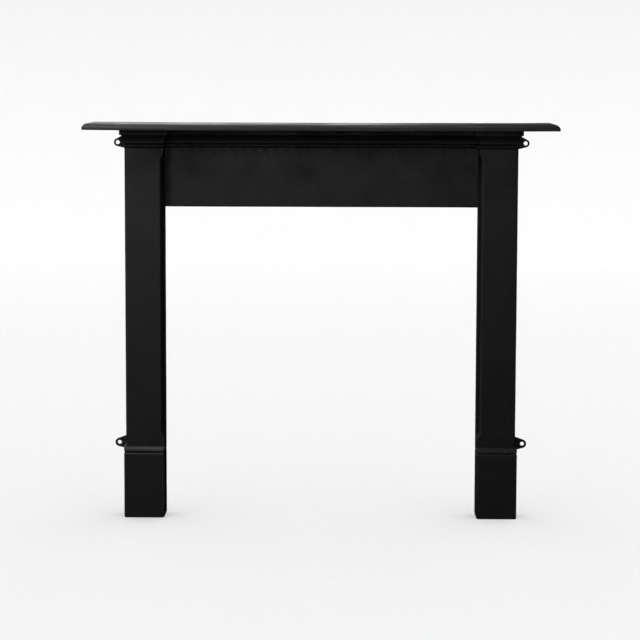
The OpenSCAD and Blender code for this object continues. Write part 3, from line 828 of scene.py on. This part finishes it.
def shelf_pattern():
    """Rectangles let in at the front and the ends by the profile of the edge: underside, soft lower
    arris, square, and a quarter round of radius (w^2 + h^2) / 2h. More rows cross the top, for the
    bow and the waves. On the flats they leave the wall by a slope, so that no two meet."""
    radius = (ovolo_w ** 2 + ovolo_h ** 2) / (2 * ovolo_h)
    reach = math.degrees(math.asin(ovolo_w / radius))
    under = [[x, 0] for x in under_rows]
    lower = arc_points(-2, 2, 2, -90, 0, 4) * [-1, 1]
    quarter = arc_points(-ovolo_w, slab_h - radius, radius, 90 - reach, 90, 18) * [-1, 1]
    over_top = [[x, slab_h] for x in over_rows]
    let_in, height = np.concatenate([under, lower, quarter, over_top]).T
    half_w, front = shelf_w / 2 - let_in, let_in - shelf_depth
    back = (np.where(let_in > ovolo_w, -(let_in - ovolo_w) * over_slope, 0)
            - (height == 0) * let_in * under_slope)
    radii = [0.6, tip_r, tip_r, 0.6]
    return upright_box(-half_w, half_w, front, back, seat_z + height, radii, [9, 76, 9, 76])


# %% Ribs and bosses under the shelf
def shelf_ribs():
    """Seats round the tops of the legs and along the frieze, cross ribs and a long rib. Only the
    seats reach down to the castings that carry the shelf."""
    seat_in, low = 6.0, seat_z + 2
    high = seat_z + slab_h - shelf_plate + 1.5
    x0 = jamb_x - cornice_out + seat_in
    x1 = jamb_x + leg_w + cornice_out - seat_in
    y0 = leg_depth + cornice_out - seat_in
    y_frieze = cornice_out - face_y - seat_in
    y_front, x_rim = shelf_depth - rim_t + 1, shelf_w / 2 - rim_t + 1
    long_y, leg_x, half = (y0 + y_front - 1) / 2, jamb_x + leg_w / 2, rib_t / 2
    bars = [(-x0 - 1, x0 + 1, -y_frieze, -y_frieze + rib_t, seat_z),
            (-half, half, -y_front, -y_frieze + 1, low),
            (-x_rim, x_rim, -long_y - half, -long_y + half, low)]
    for side in (-1, 1):
        for a, b, c, d, z in (
                (x0, x1, -y0, -y0 + rib_t, seat_z), (x0, x0 + rib_t, -y0, -1, seat_z),
                (x1 - rib_t, x1, -y0, -1, seat_z), (leg_x - half, leg_x + half, -y_front, 1 - y0, low),
                (shelf_bolt_x - half, shelf_bolt_x + half, -y_front, 1 - y_frieze, low),
                (x1 - 1, x_rim, -y0 / 2 - half, -y0 / 2 + half, low)):
            bars.append((*sorted((side * a, side * b)), c, d, z))
    return [block(a, b, c, d, z, high) for a, b, c, d, z in bars]


shelf_bolts = {
    "left": [(-jamb_x - leg_w / 2, y) for y in leg_bolt_y],
    "middle": [(i * shelf_bolt_x, frieze_bolt_y) for i in (-1, 0, 1)],
    "right": [(jamb_x + leg_w / 2, y) for y in leg_bolt_y],
}
tap_depth = 12.4


def shelf_casting():
    """Pattern less core, with ribs and bosses. The tapped holes are drilled last and end blind."""
    hollow_h = slab_h - shelf_plate
    places = [p for group in shelf_bolts.values() for p in group]
    tray = cast(shelf_pattern(), cuts=[
        block(rim_t - shelf_w / 2, shelf_w / 2 - rim_t, rim_t - shelf_depth, -rib_t,
              seat_z - clear, seat_z + hollow_h, radius=6, edge=fillet, lip=2)])
    column = np.array([[boss_r - 1, seat_z], [boss_r, seat_z + 1], [boss_r, seat_z + hollow_h - 1.5],
                       [boss_r + 2.5, seat_z + hollow_h + 1]])
    bosses = [turned(column, p) for p in places]
    holes = []
    for place in places:
        holes.append(drill(tapped_r, seat_z, seat_z + 2 * tap_depth, place, flare=0.5,
                           columns=28))
        points = points_of(holes[-1])
        points[:, 2] = np.minimum(points[:, 2], seat_z + tap_depth)
        set_points(holes[-1], points)
    return cast(tray, shelf_ribs() + bosses, holes)


# %% The bow of the shelf
shelf_bow, behind_front, bow_blend = 1.8, 5.0, 60.0


def bowed(points):
    """Lowers the shelf by the bow times 1 - d^3, with d the distance from the middle over half the
    width. Over the seats only the top goes down, and the underside follows ahead of them."""
    across = 1 - np.abs(2 * points[:, 0] / shelf_w) ** 3
    up = np.clip((points[:, 2] - seat_z) / slab_h, 0, 1)
    ahead = np.clip((-points[:, 1] - leg_depth - cornice_out - behind_front) / bow_blend, 0, 1)
    ahead = ahead * ahead * (3 - 2 * ahead)
    lowered = points.copy()
    lowered[:, 2] -= shelf_bow * across * (up + (1 - up) * ahead)
    return lowered


shelf = shelf_casting()
set_points(shelf, bowed(points_of(shelf)))
blacken(settle(shelf, 5.2, 0.4), "mantel_shelf", (0.8, 0.1, 0.6))

# %% [markdown]
# ## The foot blocks
# A foot block is a plain hollow box under the leg, open at the back and below. A neck on top, set far
# in at the front, keeps the block and the roll apart and draws the dark line between them. The
# outside is again a stack of rectangles: near the floor each side is let in by
# r - sqrt(r^2 - (r - z)^2) with its own radius.

# %% One foot block
foot_front_r = 1.6


def foot_pattern():
    """Rectangles from the floor to the shoulder of the block, just under the neck's foot."""
    a = np.linspace(0, math.pi / 2, 11)
    near_floor = foot_corner_r * (1 - np.cos(a))
    fine = foot_front_r * (1 - np.cos(a[2:8:2]))
    z = np.unique(np.concatenate([near_floor, fine, np.linspace(20, shoulder_z - 8, 9),
                                  shoulder_z - foot_top_r * (1 - np.cos(a[::2]))]).round(4))
    end = let_in_by(foot_end_r, shoulder_z - z)
    near = let_in_by(foot_corner_r, z) + end
    far = foot_w - let_in_by(foot_arris_r, z) - end
    front = -foot_depth + let_in_by(foot_front_r, z) + let_in_by(foot_top_r, shoulder_z - z)
    radii = [back_r, foot_arris_r, foot_arris_r, back_r]
    return upright_box(near, far, front, np.zeros_like(z), z, radii, [5, 8, 5, 6])


def foot_casting():
    """Block and neck, less the core and the two bolt holes."""
    plate_low = leg_foot_z - flange_t - neck_h
    neck = block(neck_in_side, foot_w - neck_in_side, neck_in - foot_depth, 0, foot_h - 4, leg_foot_z,
                 radius=1.5, edge=0.6, lip=2)
    core = hollow(foot_wall, foot_w - foot_wall, foot_depth - foot_wall, -clear, plate_low)
    holes = [drill(hole_r, plate_low, leg_foot_z, (x, foot_bolt_y)) for x in foot_bolt_x]
    return cast(foot_pattern(), [neck], [core, *holes])


for side, word, seed in ((-1, "left", 3.4), (1, "right", 6.1)):
    foot = settle(handed(foot_casting(), side), seed, 0.15)
    blacken(foot, f"{word}_foot_block", (0.2 * side, seed, 0.45))

# %% [markdown]
# ## Bolts, washers and nuts
# Only the back and the underside show them, but they hold the castings together. A bolt is a surface
# of radius against angle and length: the head is a hexagon, af / 2 over the cosine of the angle from
# the nearest flat, cut back by a cone, and the thread is a triangle wave that climbs one pitch a
# turn. So neither needs any cutting.

# %% Hexagons and threads
head_af, head_h, nut_h = 1.625 * bolt_d, 0.6875 * bolt_d, 0.8125 * bolt_d
washer_d, washer_t, washer_bore = 2 * bolt_d, 1.6, bolt_d + 0.4
pitch, thread_deep = 1.25, 0.72
bolt_angle, bolt_circle = circle(36)
hexagon = head_af / 2 / np.cos(bolt_angle % (math.pi / 3) - math.pi / 6)


def coned(distance):
    """Largest radius at each distance from the outer face of a head or nut: a 30 degree chamfer."""
    return (0.475 * head_af + distance * math.sqrt(3))[:, None]


def thread(along):
    """A triangle wave from 0 to 1 that climbs one pitch a turn."""
    return np.abs(((along[:, None] / pitch - bolt_angle / (2 * math.pi)) % 1) * 2 - 1)


def swept_round(radius, along):
    """Points of a surface of radius[row, column] at along[row], about the z axis."""
    return stand(radius[..., None] * bolt_circle, along)


def bolt_loops(length):
    """A bolt pointing up from the underside of its head at z = 0. Its thread fades out over the last
    pitch."""
    head = np.array([0, 0.25, 0.5, 0.9, 1.4, head_h - 0.3, head_h])
    head_r = np.minimum(hexagon, coned(head))
    run = np.linspace(0, length, int(length / pitch * 6) + 1)
    fade = np.clip((length - run) / pitch, 0, 1)[:, None]
    shank_r = bolt_d / 2 - thread_deep * (thread(run) * fade + (1 - fade))
    point_r = np.full_like(hexagon, bolt_d / 2 - 1.6 * thread_deep)
    radius = np.vstack([head_r[:1] * 0.6, head_r, shank_r, point_r])
    return swept_round(radius, np.concatenate([[-head_h], head - head_h, run, [length]]))


def nut_loops():
    """A nut on z = 0: the hexagon up its outside and the thread down its inside."""
    z = np.array([0, 0.3, 0.7, nut_h - 0.7, nut_h - 0.3, nut_h])
    outside = np.minimum(hexagon, coned(np.minimum(z, nut_h - z)))
    down = np.linspace(nut_h, 0, 26)
    sunk = np.clip(0.8 - np.minimum(down, nut_h - down), 0, 0.8)[:, None]
    inside = bolt_d / 2 + 0.1 - (thread_deep - 0.15) * thread(down) * (sunk == 0) + sunk
    return swept_round(np.vstack([outside, inside]), np.concatenate([z, down]))


def washer_loops():
    """A washer on z = 0, with its outer edge rounded over by the punch."""
    outer, inner, soft = washer_d / 2, washer_bore / 2, 0.35
    section = np.array([[inner, 0.15], [inner + 0.15, 0], [outer - soft, 0], [outer, soft],
                        [outer, washer_t - 0.15], [outer - 0.15, washer_t], [inner + soft, washer_t],
                        [inner, washer_t - soft]])
    radius = np.broadcast_to(section[:, :1], (len(section), len(bolt_angle)))
    return swept_round(radius, section[:, 1])


# %% Placing the fasteners
def fasteners(kind, word, loops, places, levels, axis):
    """All fasteners of one kind in a joint, one at each level of each place, as one object. For
    axis y, up becomes forward (-y). Only a bolt has ends to cap."""
    if axis == "y":
        loops = np.stack([loops[..., 0], -loops[..., 2], loops[..., 1]], -1)
    joined = bmesh.new()
    for u, v in places:
        for level in levels:
            at = (u, level, v) if axis == "y" else (u, v, level)
            part = solid(loops + at, ring="bolt" not in kind)
            joined.from_mesh(part.data)
            discard(part)
    mesh = bpy.data.meshes.new(kind)
    joined.to_mesh(mesh)
    joined.free()
    finish_piece(put(kind, mesh), f"{kind}_set_{word}", f"{kind}s_{word}", zinc)


bolt_l = {"shelf": 20.0, "frieze": 30.0, "foot": 32.0}


def bolt_up(joint, word, places, head, nut=None, axis="z"):
    """Bolts at places (x, y), or (x, z) for axis y, with a washer under each head, which bears on the
    level head. If the level of a nut is given, a washer and a nut stand on it."""
    onward = -washer_t if axis == "y" else washer_t
    levels = [head - onward] if nut is None else [head - onward, nut]
    fasteners(f"{joint}_bolt", word, bolt_loops(bolt_l[joint]), places, levels[:1], axis)
    fasteners(f"{joint}_washer", word, washer_loops(), places, levels, axis)
    if nut is not None:
        fasteners(f"{joint}_nut", word, nut_loops(), places, [nut + onward], axis)


for word, places in shelf_bolts.items():
    bolt_up("shelf", word, places, flange_z)

for side, word in ((-1, "left"), (1, "right")):
    bolt_up("frieze", word, lugs(side), back_y, face_y - flange_t, "y")
    places = [(side * (jamb_x + x), foot_bolt_y) for x in foot_bolt_x]
    bolt_up("foot", word, places, foot_h - flange_t, leg_foot_z + flange_t)

# %% [markdown]
# ## The studio
# Black iron is seen by what it reflects, and a white floor round it would turn it grey. A
# photographer keeps the floor's light off with black card. Here the floor is left out of reflections
# and has lamps of its own, which light nothing else. It is a disc that curves up into a wall all the
# way round, so every view has the same pale ground.

# %% Floor and wall
def round_floor(radius, bend, height, columns=128):
    """A disc that turns up into a wall along a quarter circle."""
    a = np.linspace(0, math.pi / 2, 25)
    section = np.concatenate([np.stack([radius + bend * np.sin(a), bend * (1 - np.cos(a))], -1),
                              [[radius + bend, height]]])
    points = stand(section[:, :1, None] * circle(columns)[1], section[:, 1]).reshape(-1, 3)
    index = np.arange(len(section) * columns).reshape(-1, columns)
    right = np.roll(index, -1, axis=1)
    faces = np.stack([index[:-1], index[1:], right[1:], right[:-1]], -1).reshape(-1, 4).tolist()
    mesh = bpy.data.meshes.new("floor")
    mesh.from_pydata(points.tolist(), [], faces + [index[0].tolist()])
    mesh.shade_smooth()
    return put("floor", mesh)


floor = round_floor(radius=9.0, bend=3.0, height=8.0)
floor_paint, _, floor_shader = new_material("pale_floor")
wire(floor_shader, {"Base Color": (0.80, 0.80, 0.80, 1), "Roughness": 0.9, "Specular IOR Level": 0.0})
floor.data.materials.append(floor_paint)
floor.visible_glossy = floor.visible_shadow = False

# %% Lamps for the floor
floor_only = bpy.data.collections.new("floor_only")
floor_only.objects.link(floor)
iron_only = bpy.data.collections.new("iron_only")
for piece in bpy.context.scene.objects:
    if piece.type == "MESH" and piece != floor:
        iron_only.objects.link(piece)


def hang(name, kind, receivers):
    """A light that reaches only a collection, and its holder."""
    light = bpy.data.lights.new(name, kind)
    holder = put(name, light)
    holder.light_linking.receiver_collection = receivers
    return light, holder


def floor_sun(name, turn, lean, strength, spread, shadows=False):
    """A broad sun for the floor, leaning from straight down and turned about the z axis. Without
    shadows only the floor itself is in its way."""
    light, holder = hang(name, "SUN", floor_only)
    light.energy, light.angle = strength, math.radians(spread)
    holder.rotation_euler = (math.radians(lean), 0, math.radians(turn))
    if not shadows:
        holder.light_linking.blocker_collection = floor_only


floor_sun("floor_sky", 0, 0, 1.3, 140, shadows=True)
floor_sun("floor_fill", 0, 0, 0.95, 20)
for i in range(6):
    floor_sun(f"wall_sun_{i}", 60 * i + 30, 72, 0.48, 60)


# %% Lamps for the iron
def lamp(name, place, aim, width, height, watts):
    """A rectangular soft light at a place, facing a point, and not seen itself."""
    light, holder = hang(name, "AREA", iron_only)
    light.shape, light.size, light.size_y, light.energy = "RECTANGLE", width, height, watts
    holder.location = place
    holder.rotation_euler = (Vector(aim) - Vector(place)).to_track_quat("-Z", "Y").to_euler()
    holder.visible_camera = False


lamp("key_left", (-1.6, -1.5, 2.4), (-0.4, 0, 0.8), 0.6, 0.6, 36)
lamp("front_left", (-2.2, -5.0, 2.2), (0, 0, 0.7), 1.5, 1.5, 53)
lamp("front_fill", (0.2, -6.5, 2.0), (0, 0, 0.7), 2.0, 2.0, 33)
lamp("high_left", (-1.2, -0.8, 2.6), (-0.4, 0, 0.4), 0.8, 0.5, 22)
lamp("high_right", (0.3, -0.35, 2.8), (0.52, 0, 0.2), 0.3, 0.25, 7)
lamp("high_rear", (-0.6, 0.5, 2.9), (0, -0.1, 1.1), 1.6, 0.5, 10)
lamp("rear_far", (-0.7, 3.0, 3.6), (-0.1, 0, 0.8), 2.0, 1.2, 35)
lamp("rear_low", (-0.9, 3.0, 1.75), (-0.3, 0, 1.15), 2.4, 1.0, 15)

world = bpy.data.worlds.new("studio")
bpy.context.scene.world = world
world.use_nodes = True
wire(world.node_tree.nodes["Background"], {"Color": (1, 1, 1, 1), "Strength": 0.006})

# %% [markdown]
# ## The camera
# The place and the angles come from matching the corners of the castings to the photograph: almost
# seven metres away, a little above the shelf and right of the middle. A long lens from far off keeps
# the uprights nearly parallel.

# %% Camera
picture_px, focal_px = 640, 2333.2
camera_place = (0.0779, -6.8375 + wall_y / 1000, 1.3277)
tilt, yaw, roll = (math.radians(v) for v in (6.2685, -0.6784, 0.1643))
ahead = Vector((math.sin(yaw) * math.cos(tilt), math.cos(yaw) * math.cos(tilt), -math.sin(tilt)))
level = Vector((math.cos(yaw), -math.sin(yaw), 0))
upright = level.cross(ahead)
side_on = math.cos(roll) * level + math.sin(roll) * upright
up = -math.sin(roll) * level + math.cos(roll) * upright

lens = bpy.data.cameras.new("camera")
lens.sensor_width = 36.0
lens.lens = focal_px * lens.sensor_width / picture_px
lens.clip_start, lens.clip_end = 0.1, 60.0
camera = put("camera", lens)
turned_to = Matrix((side_on, up, -ahead)).transposed().to_4x4()
camera.matrix_world = Matrix.Translation(camera_place) @ turned_to
bpy.context.scene.camera = camera
bpy.context.scene.view_settings.view_transform = "Standard"
print(f"camera: lens {lens.lens:.1f} mm at {[round(v, 3) for v in camera_place]}")
